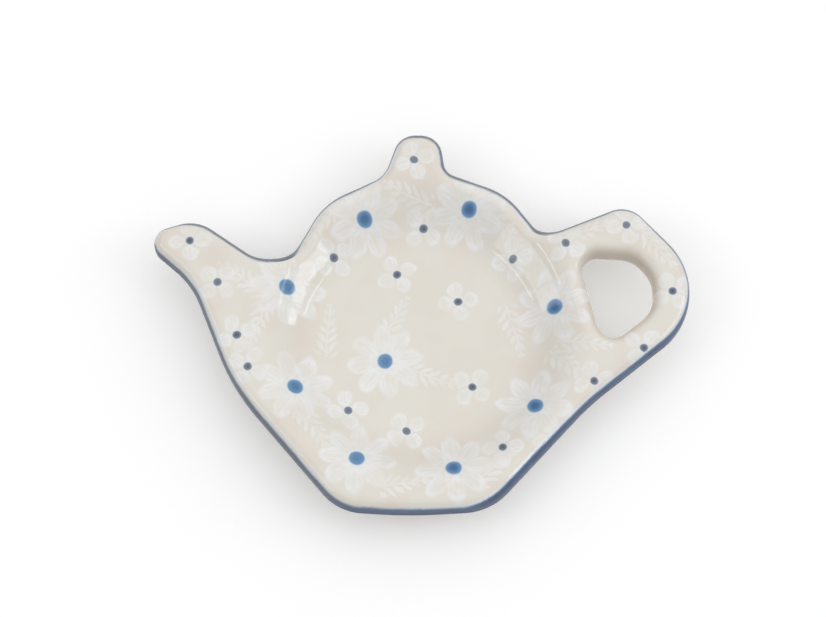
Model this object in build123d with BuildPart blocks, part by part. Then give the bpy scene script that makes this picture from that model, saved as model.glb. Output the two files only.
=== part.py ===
"""Tea bag rest: a glazed stoneware dish in the outline of a teapot, with spout, lid knob and handle loop.

Frame: millimetres, +Z up, the table at Z = 0. The origin is the middle of the foot ring, under the
middle of the round well. +X points to the handle, -X to the spout and +Y to the lid knob.
The fired dish is one thing made in layers, and each layer is a closed solid that fits the next one.
"""

import os
from math import radians, tan

from build123d import *

# How far the outline reaches from the axis of the well
spout_reach = 70.0
handle_reach = 69.75
knob_reach = 55.1
base_reach = 48.65
base_bow = 0.95
handle_middle = 9.0
handle_top = 35.3
spout_top = 31.0

# Corner roundings of the outline, seen from above
base_right_round = 16.0
flank_right_round = 73.0
handle_round = 19.5
handle_corner_round = 7.2
valley_right_round = 6.7
shoulder_round = 20.0
knob_right_root_round = 3.5
knob_round = 5.8
knob_left_root_round = 7.0
valley_left_round = 9.4
spout_crest_round = 10.0
spout_tip_round = 4.5
spout_throat_round = 24.0
flank_left_round = 60.0
base_left_round = 14.0
base_bow_round = 128.0

# Edge of the dish, from the side
edge_thickness = 7.0
edge_top_round = 0.45 * edge_thickness
edge_under_round = 0.34 * edge_thickness

# Well that holds the tea bag
well_floor_radius = 24.0
well_wall_slope = 33.0
well_bend_round = 14.5
well_depth = 8.0
floor_thickness = 5.0

# Foot ring
foot_height = 1.5
foot_outer_radius = 28.5
foot_width = 4.0
foot_edge_round = 0.6

# Finger loop: the web between it and the well, the limb outside it, and its corners as drawn
loop_web = 1.6
handle_limb = 9.6
loop_far_side = 21.4
loop_near_tip = -5.1
loop_lean = 6.6
loop_outer_round = 9.0
loop_top_round = 3.2
loop_under_round = 1.6

# Glaze
glaze_thickness = 0.4
band_lap = 2.0

# Heights above the table
underside_height = foot_height
floor_height = underside_height + floor_thickness
rim_height = floor_height + well_depth
rim_underside_height = rim_height - edge_thickness
beyond_the_dish = spout_reach + handle_round

# Where the straight slope of the well's wall would meet the floor and the rim without its bends
well_bottom_radius = well_floor_radius + well_bend_round * tan(radians(well_wall_slope) / 2)
well_top_radius = well_bottom_radius + well_depth / tan(radians(well_wall_slope))

# Outline seen from above, against the clock from the right end of the base
outline_corners = (
    ((0.427 * well_top_radius, base_bow - base_reach), base_right_round),
    ((1.057 * well_top_radius, -0.486 * well_top_radius), flank_right_round),
    ((handle_reach + 0.455 * handle_round, handle_middle), handle_round),
    ((handle_reach - 0.787 * handle_round, handle_top), handle_corner_round),
    ((0.794 * well_top_radius, 0.644 * well_top_radius), valley_right_round),
    ((0.546 * well_top_radius, 0.952 * well_top_radius), shoulder_round),
    ((0.155 * well_top_radius, 0.808 * knob_reach), knob_right_root_round),
    ((0.81 * knob_round, knob_reach), knob_round),
    ((-knob_round, knob_reach), knob_round),
    ((-0.241 * well_top_radius, 0.79 * knob_reach), knob_left_root_round),
    ((-0.63 * well_top_radius, 0.888 * well_top_radius), shoulder_round),
    ((-0.923 * well_top_radius, 0.389 * well_top_radius), valley_left_round),
    ((-spout_reach + 1.09 * spout_crest_round, spout_top), spout_crest_round),
    ((-spout_reach - spout_tip_round, 0.84 * spout_top), spout_tip_round),
    ((-spout_reach + spout_crest_round, 0.43 * spout_top), spout_throat_round),
    ((-1.2 * well_top_radius, -0.373 * well_top_radius), flank_left_round),
    ((-0.525 * well_top_radius, base_bow - base_reach), base_left_round),
    ((-0.093 * well_top_radius, -base_reach - 0.26 * base_bow), base_bow_round),
)

# The finger loop keeps its distance from the well on one side and from the handle's edge on the other
loop_inner = well_top_radius + loop_web
loop_outer = handle_reach - handle_limb
loop_width = loop_outer - loop_inner
loop_side = loop_inner - 1.1 * loop_web

loop_corners = (
    ((loop_side, loop_far_side), 0.245 * loop_width),
    ((loop_side + loop_lean, loop_near_tip), 0.235 * loop_width),
    ((loop_outer, 0.252 * loop_far_side), loop_outer_round),
    ((loop_outer, 0.69 * loop_far_side), loop_outer_round),
    ((loop_outer - 0.567 * loop_outer_round, loop_far_side - 0.1 * loop_outer_round), 0.82 * loop_outer_round),
)


def plan_face(corners, grow):
    """Flat face inside rounded corners, grown outwards by a distance, or shrunk by a negative one."""
    with BuildSketch() as plan:
        with BuildLine():
            FilletPolyline(
                [place for place, rounding in corners],
                radius=[rounding for place, rounding in corners],
                close=True,
            )
        make_face()
        if grow:
            offset(amount=grow)
    return plan.sketch


def space_over(floor, rim):
    """Everything above a dished surface: a flat floor, and one smooth face for the wall and the flat rim."""
    top = 4 * rim
    run = well_top_radius - well_bottom_radius
    bend_end = well_top_radius + (well_bottom_radius - well_floor_radius)
    with BuildPart() as space:
        with BuildSketch(Plane.XZ):
            with BuildLine():
                Line((0, floor), (well_floor_radius, floor))
                Spline(
                    (well_floor_radius, floor),
                    ((well_bottom_radius + well_top_radius) / 2, (floor + rim) / 2),
                    (bend_end, rim),
                    (beyond_the_dish, rim),
                    tangents=((1, 0), (run, rim - floor), (1, 0), (1, 0)),
                )
                Polyline((beyond_the_dish, rim), (beyond_the_dish, top), (0, top), (0, floor))
            make_face()
        revolve(axis=Axis.Z)
    return space.part


def round_walls(walls, upper_round, lower_round):
    """Round the upper and the lower edges of upright walls."""
    upper = [edge for wall in walls for edge in wall.edges() if edge.bounding_box().min.Z > wall.center().Z]
    lower = [edge for wall in walls for edge in wall.edges() if edge.bounding_box().max.Z < wall.center().Z]
    fillet(upper, upper_round)
    fillet(lower, lower_round)


def dish(shrink):
    """The dish without its foot ring, with every face drawn in by the same distance."""
    lift = rim_height + edge_thickness
    with BuildPart() as body:
        add(extrude(plan_face(outline_corners, -shrink), lift))
        add(space_over(underside_height + shrink, rim_underside_height + shrink), mode=Mode.INTERSECT)
        add(space_over(floor_height - shrink, rim_height - shrink), mode=Mode.SUBTRACT)
        walls = [face for face in body.faces() if abs(face.normal_at().Z) < 0.01]
        round_walls(walls, edge_top_round - shrink, edge_under_round - shrink)
        before = body.faces()
        add(extrude(plan_face(loop_corners, shrink), lift), mode=Mode.SUBTRACT)
        walls = [face for face in body.faces() if face not in before and abs(face.normal_at().Z) < 0.01]
        round_walls(walls, loop_top_round - shrink, loop_under_round - shrink)
    return body.part


outer = dish(0)
core = dish(glaze_thickness)

# Fired clay, with the foot ring that stays bare
with BuildPart() as stoneware_body:
    add(core)
    with BuildSketch(Plane.XZ):
        with Locations((foot_outer_radius - foot_width, 0)):
            Rectangle(foot_width, foot_height + floor_thickness / 2, align=(Align.MIN, Align.MIN))
    revolve(axis=Axis.Z)
    ring_edges = stoneware_body.edges().filter_by(GeomType.CIRCLE).group_by(Axis.Z)[0]
    fillet(ring_edges, foot_edge_round)

# The whole coat of glaze, which is then cut into its separate areas
with BuildPart() as coat:
    add(outer)
    add(stoneware_body.part, mode=Mode.SUBTRACT)

inside_band = extrude(plan_face(outline_corners, -band_lap), rim_height + edge_thickness)
upper_half = space_over(floor_height - floor_thickness / 2, rim_height - edge_thickness / 2)

# Blue glaze round the outer edge
with BuildPart() as edge_band:
    add(coat.part)
    add(inside_band, mode=Mode.SUBTRACT)

with BuildPart() as cream_coat:
    add(coat.part)
    add(inside_band, mode=Mode.INTERSECT)

# Cream glaze over the face, the well and the upper half of the finger loop
with BuildPart() as top_glaze:
    add(cream_coat.part)
    add(upper_half, mode=Mode.INTERSECT)

# Cream glaze under the dish, which the bare foot ring parts into an inner and an outer area
with BuildPart() as under_coat:
    add(cream_coat.part)
    add(upper_half, mode=Mode.SUBTRACT)
inner_area, outer_area = under_coat.solids().sort_by(SortBy.VOLUME)

with BuildPart() as underside_glaze:
    add(outer_area)

with BuildPart() as foot_recess_glaze:
    add(inner_area)

stoneware_body.part.label = "stoneware_body"
top_glaze.part.label = "top_glaze"
edge_band.part.label = "edge_band"
underside_glaze.part.label = "underside_glaze"
foot_recess_glaze.part.label = "foot_recess_glaze"

os.makedirs("parts", exist_ok=True)
export_step(stoneware_body.part, "parts/stoneware_body.step")
export_step(top_glaze.part, "parts/top_glaze.step")
export_step(edge_band.part, "parts/edge_band.step")
export_step(underside_glaze.part, "parts/underside_glaze.step")
export_step(foot_recess_glaze.part, "parts/foot_recess_glaze.step")
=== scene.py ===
"""Looks of the glazed stoneware tea bag rest: finishes, painted flowers, table, studio light and camera."""

import math

import bmesh
import bpy
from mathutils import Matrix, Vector

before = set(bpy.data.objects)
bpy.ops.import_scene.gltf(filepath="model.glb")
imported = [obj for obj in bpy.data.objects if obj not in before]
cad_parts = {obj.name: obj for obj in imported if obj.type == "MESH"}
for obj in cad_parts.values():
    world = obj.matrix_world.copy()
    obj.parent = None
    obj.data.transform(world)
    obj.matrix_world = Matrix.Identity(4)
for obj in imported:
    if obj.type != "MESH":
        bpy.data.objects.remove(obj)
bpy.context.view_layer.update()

MM = 0.001

# Photograph's frame and the camera that took it
FRAME_WIDTH_PX = 826
FOCAL_LENGTH_PX = 2470
SENSOR_WIDTH_MM = 36
CAMERA_ELEVATION = math.radians(70)
CAMERA_DISTANCE = 641.6 * MM
VIEW_TARGET = Vector((-2.28, 6.53, 10.8)) * MM

# Painted decoration: places in millimetres from the middle of the well, and turns in radians
DAISIES = (
    (12.5, 34.0, 0.2),
    (-15.0, 31.5, 0.5),
    (-35.0, 12.0, 0.0),
    (-32.5, -15.0, 0.35),
    (8.0, -37.0, 0.1),
    (29.0, -20.0, 0.55),
    (34.5, 7.0, 0.3),
    (-9.5, -6.5, 0.15),
    (-16.5, -34.5, 0.7),
)
BUDS = (
    (9.5, 10.0, 0.2),
    (13.0, -13.5, 0.9),
    (-6.5, 17.5, 0.5),
    (-2.0, 47.0, 0.3),
    (-60.5, 24.0, 0.1),
    (-53.0, 12.5, 0.8),
    (-47.5, -2.0, 0.4),
    (-23.0, 21.5, 0.7),
    (-44.5, -10.5, 1.1),
    (-19.0, -20.0, 0.2),
    (-4.0, -25.5, 0.6),
    (20.5, -31.5, 0.0),
    (32.0, -33.0, 0.7),
    (44.0, -14.5, 0.3),
    (57.0, -5.5, 0.9),
    (65.0, 10.0, 0.5),
    (53.5, 28.5, 0.2),
    (37.5, 23.5, 1.0),
    (24.0, 21.0, 0.1),
    (0.5, 30.0, 0.8),
)
SPRIGS = (
    (-4.0, 38.0, 2.7),
    (22.0, 29.0, -0.9),
    (-25.5, 30.5, -2.3),
    (-47.0, 14.0, 2.5),
    (-42.0, 2.0, -1.9),
    (-27.0, -27.0, -1.0),
    (-4.0, -41.5, 0.15),
    (19.0, -36.5, 0.75),
    (38.0, -10.0, -0.8),
    (42.0, -4.0, -0.2),
    (43.5, 27.0, 0.35),
    (62.0, 21.5, -0.9),
    (24.0, 2.0, -1.3),
    (-24.5, 2.0, 1.5),
    (-7.0, 5.0, 1.1),
    (3.0, -11.0, -0.3),
)

# Flowers and sprigs in millimetres, with a petal's half length and half width as shares of the radius
DAISY_RADIUS = 10.0
DAISY_PETALS = 8
DAISY_PETAL_SHARES = (0.38, 0.23)
DAISY_DOT_RADIUS = 2.05
BUD_RADIUS = 5.5
BUD_PETALS = 4
BUD_PETAL_SHARES = (0.38, 0.38)
BUD_DOT_RADIUS = 1.1
SPRIG_LENGTH = 15.0
SPRIG_LEAF_PITCH = 2.6
SPRIG_LEAF_LENGTH = 3.4

# Share of the white that a leaf takes, and how far a hand shifts petals and dots, in millimetres
LEAF_COVER = 0.7
PETAL_SHIFT = 1.7
DOT_SHIFT = 0.5

# Stretches over which the finish and the painted shade round the finger loop change: out from the middle of
# the well, or along the dish
WELL_WALL = (18 * MM, 34 * MM)
LOOP_SIDE = (40 * MM, 44 * MM)
SPOUT_TAPER = (-56 * MM, -68 * MM)
HANDLE_TAPER = (28 * MM, 42 * MM)

# Waves, or cells, in a metre of whatever is uneven
CLOUD_WAVES = 90.0
SPECK_CELLS = 140.0
WOBBLE_WAVES = 260.0
WASH_WAVES = 240.0
LOAD_WAVES = 55.0
BRUSH_WAVES = 60.0
RUN_WAVES = 40.0
STREAK_WAVES = 220.0
RELIEF_WAVES = 110.0
SAND_WAVES = 1500.0

# Gloss of the glaze, of the edge where it is wiped thin, and of the bare clay
GLAZE_ROUGHNESS = 0.06
GLAZE_IOR = 1.55
GLAZE_SHINE = 0.5
WIPED_ROUGHNESS = 0.5
WIPED_SHINE = 0.15
CLAY_ROUGHNESS = 0.75

# How far the edge faces up where the wiping starts and where it is full
WIPED_TURN = (0.3, -0.1)

# Table, with its reach in metres
TABLE_REACH = 4.0
TABLE_WHITE = (0.88, 0.88, 0.88, 1.0)
TABLE_GLOW = 0.17

# Light from all round: where most of it comes from, how much it grows that way, and its even part
SKY_DIRECTION = (0.16, 0.23, 0.96)
SKY_GROWTH = 0.83
SKY_EVEN = 0.31
PLAIN_WHITE = (1.0, 1.0, 1.0, 1.0)

# Softboxes a metre off: azimuth and elevation in degrees, length in metres, slant in degrees, radiance
RIGHT_PANEL = (-4, 30.5, 0.66, -24, 2.5)
RIGHT_STRIP = (1, 45, 0.43, -36, 2.6)
LEFT_PANEL = (193, 37, 0.69, 24, 1.6)
LEFT_STRIP = (190, 51, 0.48, 30, 2.6)
PANEL_HEIGHT = 0.2
STRIP_HEIGHT = 0.045

# Fields of a panel's cloth, as shares of its length from its front end
PANEL_FIELDS = ((0.0, 0.52), (0.535, 0.74), (0.755, 1.0))


def srgb(red, green, blue):
    """Linear colour, with alpha, of a colour written as 0 to 255 on the screen."""
    def linear(value):
        share = value / 255
        return share / 12.92 if share <= 0.04045 else ((share + 0.055) / 1.055) ** 2.4
    return (linear(red), linear(green), linear(blue), 1.0)


CREAM = srgb(226, 222, 212)
WARM_CREAM = srgb(224, 213, 202)
# Browner thin glaze, also painted as shade on steep faces and round the finger loop
THIN_GLAZE_AND_SHADE = srgb(204, 191, 172)
IRON_SPECK = srgb(120, 100, 84)
PETAL_WHITE = srgb(236, 238, 240)
DOT_BLUE = srgb(62, 102, 148)
DOT_WASH = srgb(104, 148, 188)
DOT_HALO = srgb(226, 236, 242)
BUD_BLUE = srgb(76, 88, 108)
BUD_WASH = srgb(128, 138, 152)
EDGE_BLUE = srgb(59, 80, 110)
EDGE_WASH = srgb(92, 118, 154)
EDGE_GREY = srgb(98, 104, 112)
# Pale run inside the blue edge, also a painted highlight along its rounded top
EDGE_HALO_AND_HIGHLIGHT = srgb(224, 231, 238)
BARE_CLAY = srgb(205, 186, 158)
CLAY_SAND = srgb(182, 158, 126)


def node(tree, kind, inputs=None, **settings):
    """Adds a node, sets its options, and fills its inputs with values or with other nodes' outputs."""
    made = tree.nodes.new(kind)
    for name, value in settings.items():
        setattr(made, name, value)
    for name, value in (inputs or {}).items():
        if isinstance(value, bpy.types.NodeSocket):
            tree.links.new(value, made.inputs[name])
        else:
            made.inputs[name].default_value = value
    return made


def calc(tree, operation, first, second=0.0, third=0.0):
    """Output of one sum on one to three values or outputs."""
    return node(tree, "ShaderNodeMath", {0: first, 1: second, 2: third}, operation=operation).outputs[0]


def vector(tree, operation, first, second):
    """Output of one sum on two vectors."""
    return node(tree, "ShaderNodeVectorMath", {0: first, 1: second}, operation=operation).outputs[0]


def fade(tree, value, start, end, low=0.0, high=1.0):
    """Output that goes smoothly from low to high while the value goes from start to end."""
    inputs = {"Value": value, "From Min": start, "From Max": end, "To Min": low, "To Max": high}
    return node(tree, "ShaderNodeMapRange", inputs, interpolation_type="SMOOTHSTEP").outputs["Result"]


def blend(tree, share, first, second):
    """Colour output that goes from the first colour to the second one."""
    return node(tree, "ShaderNodeMix", {0: share, 6: first, 7: second}, data_type="RGBA").outputs[2]


def noise(tree, place, scale, detail=2.0):
    """Soft noise from 0 to 1 over the object, with so many waves in a metre."""
    inputs = {"Vector": place, "Scale": scale, "Detail": detail, "Roughness": 0.5}
    return node(tree, "ShaderNodeTexNoise", inputs).outputs["Fac"]


def split(tree, place):
    """Outputs for the X, Y and Z of a vector."""
    return node(tree, "ShaderNodeSeparateXYZ", {0: place}).outputs


def object_place(tree):
    """Output of the place on the object."""
    return tree.nodes.new("ShaderNodeTexCoord").outputs["Object"]


def surface_normal(tree):
    """Outputs for the X, Y and Z of the direction that the surface faces."""
    return split(tree, tree.nodes.new("ShaderNodeTexCoord").outputs["Normal"])


def flat_length(tree, offset):
    """Length of an offset, seen from above."""
    flat = vector(tree, "MULTIPLY", offset, (1.0, 1.0, 0.0))
    return node(tree, "ShaderNodeVectorMath", {0: flat}, operation="LENGTH").outputs["Value"]


def hypotenuse(tree, x, y):
    """Length of the line across a right angle with these two sides."""
    return calc(tree, "SQRT", calc(tree, "MULTIPLY_ADD", x, x, calc(tree, "MULTIPLY", y, y)))


def nearest_stamp(tree, place, places):
    """Offset from the nearest of these places, with that place's turn as the third value."""
    flat_place = vector(tree, "MULTIPLY", place, (1.0, 1.0, 0.0))
    nearest = None
    for x, y, turn in places:
        offset = vector(tree, "SUBTRACT", flat_place, (x * MM, y * MM, -turn))
        reach = flat_length(tree, offset)
        if nearest is None:
            nearest, least = offset, reach
            continue
        closer = calc(tree, "LESS_THAN", reach, least)
        inputs = {0: closer, 4: nearest, 5: offset}
        nearest = node(tree, "ShaderNodeMix", inputs, data_type="VECTOR").outputs[1]
        least = calc(tree, "MINIMUM", reach, least)
    return nearest


def stamp_place(tree, nearest, scale):
    """Place within the nearest stamp, turned and in its own scale. Outputs for x and y."""
    inputs = {"Vector": nearest, "Angle": split(tree, nearest)["Z"]}
    turned = node(tree, "ShaderNodeVectorRotate", inputs, rotation_type="Z_AXIS", invert=True)
    sides = split(tree, turned.outputs[0])
    x = calc(tree, "DIVIDE", sides["X"], scale * MM)
    y = calc(tree, "DIVIDE", sides["Y"], scale * MM)
    return x, y


def white_flower(tree, place, places, petals, radius, petal_shares):
    """White petals round each place: thick at their rims, thinner in their hearts."""
    half_length, half_width = petal_shares
    x, y = stamp_place(tree, nearest_stamp(tree, place, places), radius)
    reach = hypotenuse(tree, x, y)
    folded = calc(tree, "PINGPONG", calc(tree, "ARCTAN2", y, x), math.pi / petals)
    along = calc(tree, "MULTIPLY", reach, calc(tree, "COSINE", folded))
    across = calc(tree, "MULTIPLY", reach, calc(tree, "SINE", folded))
    u = calc(tree, "DIVIDE", calc(tree, "SUBTRACT", along, 1.0 - half_length), half_length)
    v = calc(tree, "DIVIDE", across, half_width)
    rim = hypotenuse(tree, u, v)
    inside = fade(tree, rim, 1.2, 0.8)
    heart = fade(tree, rim, 0.85, 0.45, 1.0, 0.5)
    strokes = fade(tree, calc(tree, "PINGPONG", v, 0.3), 0.06, 0.24, 0.0, 0.35)
    return calc(tree, "MULTIPLY", inside, calc(tree, "MINIMUM", calc(tree, "ADD", heart, strokes), 1.0))


def white_sprig(tree, place):
    """White stems with pairs of slanting leaves that get shorter towards the tip."""
    x, y = stamp_place(tree, nearest_stamp(tree, place, SPRIGS), 1.0)
    side = calc(tree, "ABSOLUTE", y)
    root = calc(tree, "SUBTRACT", calc(tree, "ADD", x, SPRIG_LENGTH / 2), side)
    along = calc(tree, "FRACT", calc(tree, "DIVIDE", root, SPRIG_LEAF_PITCH))
    off_line = calc(tree, "ABSOLUTE", calc(tree, "SUBTRACT", along, 0.5))
    leaf_length = fade(tree, root, 0.0, SPRIG_LENGTH, SPRIG_LEAF_LENGTH, 0.35 * SPRIG_LEAF_LENGTH)
    leaf = calc(tree, "SINE", calc(tree, "MULTIPLY", calc(tree, "DIVIDE", side, leaf_length), math.pi))
    leaves = fade(tree, calc(tree, "SUBTRACT", calc(tree, "MULTIPLY", leaf, 0.36), off_line), -0.04, 0.1)
    leaves = calc(tree, "MULTIPLY", leaves, calc(tree, "LESS_THAN", side, leaf_length))
    shape = calc(tree, "MAXIMUM", leaves, fade(tree, side, 0.35, 0.15))
    ends = fade(tree, calc(tree, "ABSOLUTE", x), SPRIG_LENGTH / 2, SPRIG_LENGTH / 2 - 0.6)
    return calc(tree, "MULTIPLY", shape, ends)


def brushed_dots(tree, colour, place, places, radius, deep, wash):
    """Colour with round dots over it, deeper in their middles, each in a pale ring."""
    x, y = stamp_place(tree, nearest_stamp(tree, place, places), radius)
    reach = hypotenuse(tree, x, y)
    colour = blend(tree, fade(tree, reach, 1.6, 1.05, 0.0, 0.5), colour, DOT_HALO)
    load = fade(tree, noise(tree, place, LOAD_WAVES), 0.36, 0.62, 0.4, 1.0)
    dot = blend(tree, calc(tree, "MULTIPLY", fade(tree, reach, 1.0, 0.25), load), wash, deep)
    return blend(tree, fade(tree, reach, 1.14, 0.84), colour, dot)


def iron_specks(tree, place):
    """Share of the few iron specks in the clay that show through."""
    inputs = {"Vector": place, "Scale": SPECK_CELLS, "Randomness": 1.0}
    cells = node(tree, "ShaderNodeTexVoronoi", inputs).outputs
    pick = node(tree, "ShaderNodeSeparateColor", {0: cells["Color"]}).outputs[0]
    few = fade(tree, pick, 0.9, 0.92, 0.0, 0.5)
    return calc(tree, "MULTIPLY", fade(tree, cells["Distance"], 0.05, 0.02), few)


def glaze_ground(tree, place, upward):
    """Cream glaze with warm clouds, browner on rounded edges (thin glaze and painted shade) and painted
    shade round the finger loop.
    """
    clouds = fade(tree, noise(tree, place, CLOUD_WAVES), 0.4, 0.66)
    cloudy = fade(tree, flat_length(tree, place), *WELL_WALL, 0.25, 0.65)
    ground = blend(tree, calc(tree, "MULTIPLY", clouds, cloudy), CREAM, WARM_CREAM)
    by_loop = fade(tree, split(tree, place)["X"], *LOOP_SIDE)
    # Painted shade on the face that turns down into the finger loop
    loop_shade = calc(tree, "MULTIPLY", fade(tree, upward, 1.0, 0.4), by_loop)
    # Browner where the face turns away from up: partly thin glaze over edges, partly painted shade
    thin_and_shade = calc(tree, "MULTIPLY", calc(tree, "MAXIMUM", fade(tree, upward, 0.78, 0.3), loop_shade), 0.65)
    ground = blend(tree, thin_and_shade, ground, THIN_GLAZE_AND_SHADE)
    return blend(tree, iron_specks(tree, place), ground, IRON_SPECK)


def hand_shift(tree, place, reach):
    """Place shifted a little to and fro, as a hand stamps it."""
    inputs = {"Vector": place, "Scale": WOBBLE_WAVES, "Detail": 1.0}
    wobble = node(tree, "ShaderNodeTexNoise", inputs).outputs["Color"]
    centred = vector(tree, "SUBTRACT", wobble, (0.5, 0.5, 0.5))
    shift = vector(tree, "MULTIPLY", centred, (reach * MM, reach * MM, reach * MM))
    return vector(tree, "ADD", place, shift)


def white_slip(tree, place):
    """Share of the white slip that the flowers and sprigs are stamped with, uneven as a wash."""
    shifted = hand_shift(tree, place, PETAL_SHIFT)
    petals = white_flower(tree, shifted, DAISIES, DAISY_PETALS, DAISY_RADIUS, DAISY_PETAL_SHARES)
    bud_petals = white_flower(tree, shifted, BUDS, BUD_PETALS, BUD_RADIUS, BUD_PETAL_SHARES)
    leaves = calc(tree, "MULTIPLY", white_sprig(tree, shifted), LEAF_COVER)
    white = calc(tree, "MAXIMUM", leaves, calc(tree, "MAXIMUM", petals, bud_petals))
    wash = fade(tree, noise(tree, place, WASH_WAVES, 3.0), 0.32, 0.68, 0.3, 0.8)
    return calc(tree, "MULTIPLY", white, wash)


def painted_face():
    """Node group for the face's colour: cream glaze over white stamped flowers, sprigs and brushed dots."""
    tree = bpy.data.node_groups.new("painted_face", "ShaderNodeTree")
    tree.interface.new_socket("Colour", in_out="OUTPUT", socket_type="NodeSocketColor")
    place = object_place(tree)
    dot_place = hand_shift(tree, place, DOT_SHIFT)
    colour = glaze_ground(tree, place, surface_normal(tree)["Z"])
    colour = blend(tree, white_slip(tree, place), colour, PETAL_WHITE)
    colour = brushed_dots(tree, colour, dot_place, BUDS, BUD_DOT_RADIUS, BUD_BLUE, BUD_WASH)
    colour = brushed_dots(tree, colour, dot_place, DAISIES, DAISY_DOT_RADIUS, DOT_BLUE, DOT_WASH)
    tree.links.new(colour, tree.nodes.new("NodeGroupOutput").inputs["Colour"])
    return tree


def new_material(name):
    """A material with a glossy glaze shader, and its tree and shader."""
    material = bpy.data.materials.new(name)
    material.use_nodes = True
    tree = material.node_tree
    shader = tree.nodes["Principled BSDF"]
    shader.inputs["Roughness"].default_value = GLAZE_ROUGHNESS
    shader.inputs["IOR"].default_value = GLAZE_IOR
    return material, tree, shader


def relief(tree, shader, height, strength, depth):
    """Slight unevenness of the surface, so many millimetres deep."""
    bump = node(tree, "ShaderNodeBump", {"Height": height, "Strength": strength, "Distance": depth * MM})
    tree.links.new(bump.outputs["Normal"], shader.inputs["Normal"])


def glaze_waves(tree, shader, place):
    """Slight waves of fired glaze."""
    relief(tree, shader, noise(tree, place, RELIEF_WAVES), 0.06, 0.4)


def painted_glaze(face):
    """Glossy glaze of the painted face."""
    material, tree, shader = new_material("painted_cream_glaze")
    colour = node(tree, "ShaderNodeGroup", node_tree=face).outputs["Colour"]
    tree.links.new(colour, shader.inputs["Base Color"])
    glaze_waves(tree, shader, object_place(tree))
    return material


def plain_glaze():
    """Cream glaze with nothing painted under it, browner on steep faces as thin glaze and painted shade."""
    material, tree, shader = new_material("plain_cream_glaze")
    place = object_place(tree)
    # How steep the face is, for the browner thin glaze and painted shade
    tilt = calc(tree, "ABSOLUTE", surface_normal(tree)["Z"])
    tree.links.new(glaze_ground(tree, place, tilt), shader.inputs["Base Color"])
    glaze_waves(tree, shader, place)
    return material


def brush_lap(tree, place, normal):
    """How far the edge faces up, shifted as the brush met it: high values stay cream, low ones are blue."""
    along = split(tree, place)["X"]
    to_left = calc(tree, "MINIMUM", normal["X"], 0.0)
    to_right = calc(tree, "MAXIMUM", normal["X"], 0.0)
    to_front = calc(tree, "MINIMUM", normal["Y"], 0.0)
    to_back = calc(tree, "MAXIMUM", normal["Y"], 0.0)
    near_right = calc(tree, "MULTIPLY", to_right, to_front)
    # It lapped furthest over the edge at the near right, then at the back, and least on the left
    lap = calc(tree, "ADD", normal["Z"], fade(tree, along, *SPOUT_TAPER, 0.0, 0.1))
    lap = calc(tree, "ADD", lap, fade(tree, along, *HANDLE_TAPER, 0.0, 0.12))
    lap = calc(tree, "MULTIPLY_ADD", to_left, fade(tree, normal["Y"], 0.25, -0.25, -0.3, 0.0), lap)
    lap = calc(tree, "MULTIPLY_ADD", near_right, fade(tree, along, *HANDLE_TAPER, 1.2, 0.8), lap)
    lap = calc(tree, "MULTIPLY_ADD", to_front, -0.08, lap)
    lap = calc(tree, "MULTIPLY_ADD", to_back, -0.4, lap)
    wander = calc(tree, "MULTIPLY_ADD", noise(tree, place, BRUSH_WAVES, 3.0), 0.34, -0.17)
    return calc(tree, "ADD", lap, wander)


def edge_blue(tree, place, normal, lap):
    """Blue of the edge: washed out at its rim, streaked, and greyer on the far side and at the spout."""
    streaks = fade(tree, noise(tree, place, STREAK_WAVES, 3.0), 0.35, 0.75, 0.0, 0.35)
    deep = blend(tree, streaks, EDGE_BLUE, EDGE_WASH)
    blue = blend(tree, fade(tree, lap, 0.62, 0.25), EDGE_WASH, deep)
    turned = calc(tree, "MULTIPLY_ADD", normal["X"], -0.7, calc(tree, "MULTIPLY", normal["Y"], 0.9))
    return blend(tree, fade(tree, turned, -0.8, 0.4, 0.0, 0.85), blue, EDGE_GREY)


def brushed_edge(face):
    """Grey-blue brushed round the edge over the painted face, with a pale run where it thins out, which is
    also a painted highlight.
    """
    material, tree, shader = new_material("brushed_blue_edge")
    place = object_place(tree)
    normal = surface_normal(tree)
    lap = brush_lap(tree, place, normal)
    runs = fade(tree, noise(tree, place, RUN_WAVES), 0.4, 0.65, 0.15, 0.85)
    # Pale run inside the blue: partly thinned paint, partly a painted highlight along the rounded edge
    halo_and_highlight = calc(tree, "MULTIPLY", fade(tree, lap, 0.92, 0.78), runs)
    cover = calc(tree, "MULTIPLY", fade(tree, lap, 0.78, 0.54), fade(tree, normal["Z"], -0.98, -0.85))
    colour = node(tree, "ShaderNodeGroup", node_tree=face).outputs["Colour"]
    colour = blend(tree, halo_and_highlight, colour, EDGE_HALO_AND_HIGHLIGHT)
    colour = blend(tree, cover, colour, edge_blue(tree, place, normal, lap))
    tree.links.new(colour, shader.inputs["Base Color"])
    # Wiped thin and duller towards the underside
    roughness = fade(tree, normal["Z"], *WIPED_TURN, GLAZE_ROUGHNESS, WIPED_ROUGHNESS)
    shine = fade(tree, normal["Z"], *WIPED_TURN, GLAZE_SHINE, WIPED_SHINE)
    tree.links.new(roughness, shader.inputs["Roughness"])
    tree.links.new(shine, shader.inputs["Specular IOR Level"])
    glaze_waves(tree, shader, place)
    return material


def fired_clay():
    """Bare stoneware of the foot ring: matt, with fine sand in it."""
    material, tree, shader = new_material("bare_fired_clay")
    grain = noise(tree, object_place(tree), SAND_WAVES, 4.0)
    colour = blend(tree, fade(tree, grain, 0.35, 0.7), BARE_CLAY, CLAY_SAND)
    tree.links.new(colour, shader.inputs["Base Color"])
    shader.inputs["Roughness"].default_value = CLAY_ROUGHNESS
    relief(tree, shader, grain, 0.25, 0.15)
    return material


def dress(name, material):
    """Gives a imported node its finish."""
    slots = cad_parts[name].data.materials
    slots.clear()
    slots.append(material)


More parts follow.
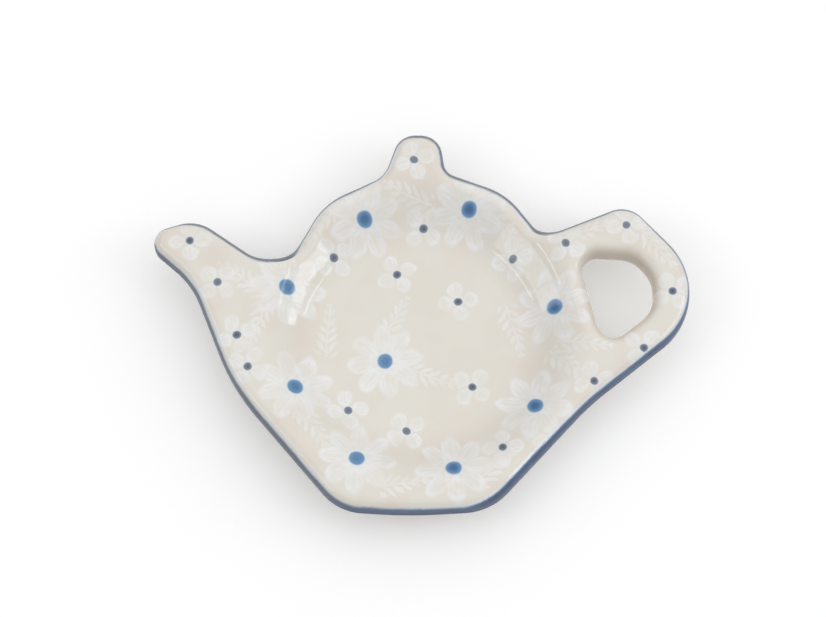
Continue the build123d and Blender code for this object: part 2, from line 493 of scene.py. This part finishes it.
def white_table():
    """Matt white that glows a little where it is seen, so that it shows white round the shadow."""
    material = bpy.data.materials.new("white_table")
    material.use_nodes = True
    tree = material.node_tree
    tree.nodes.clear()
    rays = tree.nodes.new("ShaderNodeLightPath").outputs
    seen = calc(tree, "MAXIMUM", rays["Is Camera Ray"], rays["Is Glossy Ray"])
    seen = calc(tree, "MAXIMUM", seen, rays["Is Transmission Ray"])
    strength = calc(tree, "MULTIPLY", seen, TABLE_GLOW)
    matt = node(tree, "ShaderNodeBsdfDiffuse", {"Color": TABLE_WHITE})
    glow = node(tree, "ShaderNodeEmission", {"Color": PLAIN_WHITE, "Strength": strength})
    both = node(tree, "ShaderNodeAddShader", {0: matt.outputs[0], 1: glow.outputs[0]})
    node(tree, "ShaderNodeOutputMaterial", {"Surface": both.outputs[0]})
    return material


def table_top():
    """Wide floor under the dish, which takes its shadow."""
    mesh = bpy.data.meshes.new("table_top")
    shape = bmesh.new()
    bmesh.ops.create_grid(shape, x_segments=1, y_segments=1, size=TABLE_REACH)
    shape.to_mesh(mesh)
    shape.free()
    mesh.materials.append(white_table())
    table = bpy.data.objects.new("table_top", mesh)
    bpy.context.scene.collection.objects.link(table)


def studio_world():
    """Soft light from all round, strongest from above, and white where the camera sees it."""
    world = bpy.data.worlds.new("studio")
    bpy.context.scene.world = world
    world.use_nodes = True
    tree = world.node_tree
    inputs = {0: tree.nodes.new("ShaderNodeTexCoord").outputs["Generated"], 1: SKY_DIRECTION}
    towards = node(tree, "ShaderNodeVectorMath", inputs, operation="DOT_PRODUCT").outputs["Value"]
    soft = calc(tree, "MULTIPLY_ADD", towards, SKY_GROWTH, SKY_EVEN)
    seen = tree.nodes.new("ShaderNodeLightPath").outputs["Is Camera Ray"]
    strength = node(tree, "ShaderNodeMix", {0: seen, 2: soft, 3: 1.0}).outputs[0]
    background = tree.nodes["Background"]
    background.inputs["Color"].default_value = PLAIN_WHITE
    tree.links.new(strength, background.inputs["Strength"])


def aim(thing, place, target):
    """Puts a lamp or the camera at a place, looking at a target."""
    thing.location = place
    thing.rotation_euler = (Vector(target) - Vector(place)).to_track_quat("-Z", "Y").to_euler()


def lamp_panel(name, height, azimuth, elevation, length, slant, radiance):
    """One flat panel of a softbox, a metre from the dish and facing it."""
    up = math.radians(elevation)
    about = math.radians(azimuth)
    away = Vector((math.cos(up) * math.cos(about), math.cos(up) * math.sin(about), math.sin(up)))
    lamp = bpy.data.lights.new(name, "AREA")
    lamp.shape = "RECTANGLE"
    lamp.size = length
    lamp.size_y = height
    lamp.energy = radiance * math.pi * length * height
    made = bpy.data.objects.new(name, lamp)
    bpy.context.scene.collection.objects.link(made)
    aim(made, VIEW_TARGET + away, VIEW_TARGET)
    made.rotation_euler.rotate_axis("Z", math.radians(slant))


def panel_field(panel, start, stop):
    """The field of a panel between two shares of its length, written as the panel is."""
    azimuth, elevation, length, slant, radiance = panel
    along = math.degrees((start + stop - 1) / 2 * length) * math.copysign(1, slant)
    turn = math.radians(slant)
    field_azimuth = azimuth - along * math.cos(turn) / math.cos(math.radians(elevation))
    field_elevation = elevation - along * math.sin(turn)
    return field_azimuth, field_elevation, (stop - start) * length, slant, radiance


def softbox(name, panel, strip):
    """A studio softbox: a slanting panel of three cloth fields and a narrow strip above it."""
    for count, (start, stop) in enumerate(PANEL_FIELDS):
        lamp_panel(f"{name}_field_{count}", PANEL_HEIGHT, *panel_field(panel, start, stop))
    lamp_panel(f"{name}_strip", STRIP_HEIGHT, *strip)


def photograph_camera():
    """Camera at the photograph's place and lens."""
    camera = bpy.data.cameras.new("camera")
    camera.sensor_width = SENSOR_WIDTH_MM
    camera.lens = SENSOR_WIDTH_MM * FOCAL_LENGTH_PX / FRAME_WIDTH_PX
    made = bpy.data.objects.new("camera", camera)
    bpy.context.scene.collection.objects.link(made)
    back = Vector((0, -math.cos(CAMERA_ELEVATION), math.sin(CAMERA_ELEVATION)))
    aim(made, VIEW_TARGET + back * CAMERA_DISTANCE, VIEW_TARGET)
    bpy.context.scene.camera = made


face = painted_face()
cream = plain_glaze()
dress("top_glaze", painted_glaze(face))
dress("edge_band", brushed_edge(face))
dress("underside_glaze", cream)
dress("foot_recess_glaze", cream)
dress("stoneware_body", fired_clay())

table_top()
studio_world()
softbox("right_softbox", RIGHT_PANEL, RIGHT_STRIP)
softbox("left_softbox", LEFT_PANEL, LEFT_STRIP)
photograph_camera()

bpy.context.scene.view_settings.view_transform = "Standard"
